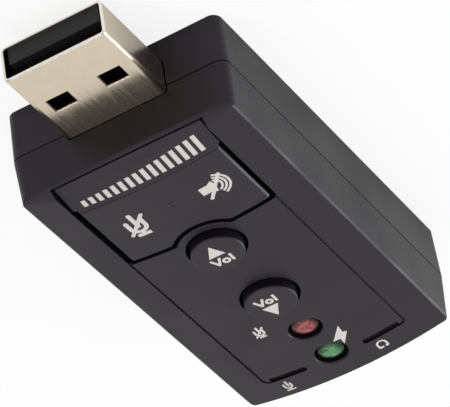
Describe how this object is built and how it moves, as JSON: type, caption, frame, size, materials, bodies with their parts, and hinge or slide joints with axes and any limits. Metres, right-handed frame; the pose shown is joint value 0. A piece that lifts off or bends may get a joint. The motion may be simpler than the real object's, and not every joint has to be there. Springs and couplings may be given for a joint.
{
  "type": "usb sound card",
  "caption": "Stick-shaped USB sound card with a USB-A plug at one end, phone and microphone sockets at the other, a tilting mute key, round volume keys and recessed lamps.",
  "frame": {"origin": "on the flat back, under the middle of the whole length and width", "axes": "+X is the way the plug is pushed in, +Z the way the key face looks"},
  "size_m": [0.06, 0.0258, 0.0139],
  "materials": {
    "black_abs": "moulded ABS, satin",
    "black_nylon": "moulded nylon",
    "nickel_steel": "nickel-plated sheet",
    "gold_contact": "gold-plated",
    "tinned_steel": "tinned",
    "red_epoxy": "tinted clear epoxy",
    "green_epoxy": "tinted clear epoxy",
    "black_epoxy": "moulded epoxy",
    "board_laminate": "green solder mask",
    "tantalum_epoxy": "moulded epoxy, ochre",
    "tan_ceramic": "fired ceramic"
  },
  "bodies": {
    "housing": {"upper_housing": "black_abs", "lower_housing": "black_abs", "red_led_lens": "red_epoxy", "green_led_lens": "green_epoxy", "red_led_leads": "tinned_steel", "green_led_leads": "tinned_steel", "usb_plug_shell": "nickel_steel", "usb_plug_insulator": "black_nylon", "power_contact": "gold_contact", "data_minus_contact": "gold_contact", "data_plus_contact": "gold_contact", "ground_contact": "gold_contact", "headphone_jack_body": "black_nylon", "microphone_jack_body": "black_nylon", "headphone_jack_contacts": "tinned_steel", "microphone_jack_contacts": "tinned_steel", "circuit_board": "board_laminate", "switch_terminals": "tinned_steel", "audio_chip": "black_epoxy", "audio_chip_leads": "tinned_steel", "crystal_can": "tinned_steel", "supply_capacitors": "tantalum_epoxy", "chip_resistors": "black_epoxy", "chip_capacitors": "tan_ceramic", "volume_up_switch_body": "black_nylon", "volume_up_switch_cover": "tinned_steel", "volume_down_switch_body": "black_nylon", "volume_down_switch_cover": "tinned_steel", "microphone_mute_switch_body": "black_nylon", "microphone_mute_switch_cover": "tinned_steel", "speaker_mute_switch_body": "black_nylon", "speaker_mute_switch_cover": "tinned_steel"},
    "mute_rocker": {"mute_rocker": "black_abs"},
    "volume_up_button": {"volume_up_button": "black_abs", "volume_up_switch_plunger": "black_nylon"},
    "volume_down_button": {"volume_down_button": "black_abs", "volume_down_switch_plunger": "black_nylon"},
    "microphone_mute_plunger": {"microphone_mute_switch_plunger": "black_nylon"},
    "speaker_mute_plunger": {"speaker_mute_switch_plunger": "black_nylon"}
  },
  "joints": [
    {"name": "mute_rocker_tilt", "type": "hinge", "parent": "housing", "child": "mute_rocker", "pos_m": [0.00995, 0, 0.0093], "axis": [1, 0, 0], "range_deg": [-2.5, 2.5], "stiffness_Nm_per_rad": 0.3},
    {"name": "volume_up_press", "type": "slide", "parent": "housing", "child": "volume_up_button", "axis": [0, 0, 1], "range_m": [-0.0003, 0], "stiffness_N_per_m": 8000},
    {"name": "volume_down_press", "type": "slide", "parent": "housing", "child": "volume_down_button", "axis": [0, 0, 1], "range_m": [-0.0003, 0], "stiffness_N_per_m": 8000},
    {"name": "microphone_mute_press", "type": "slide", "parent": "housing", "child": "microphone_mute_plunger", "axis": [0, 0, 1], "range_m": [-0.00025, 0], "stiffness_N_per_m": 8000},
    {"name": "speaker_mute_press", "type": "slide", "parent": "housing", "child": "speaker_mute_plunger", "axis": [0, 0, 1], "range_m": [-0.00025, 0], "stiffness_N_per_m": 8000}
  ]
}
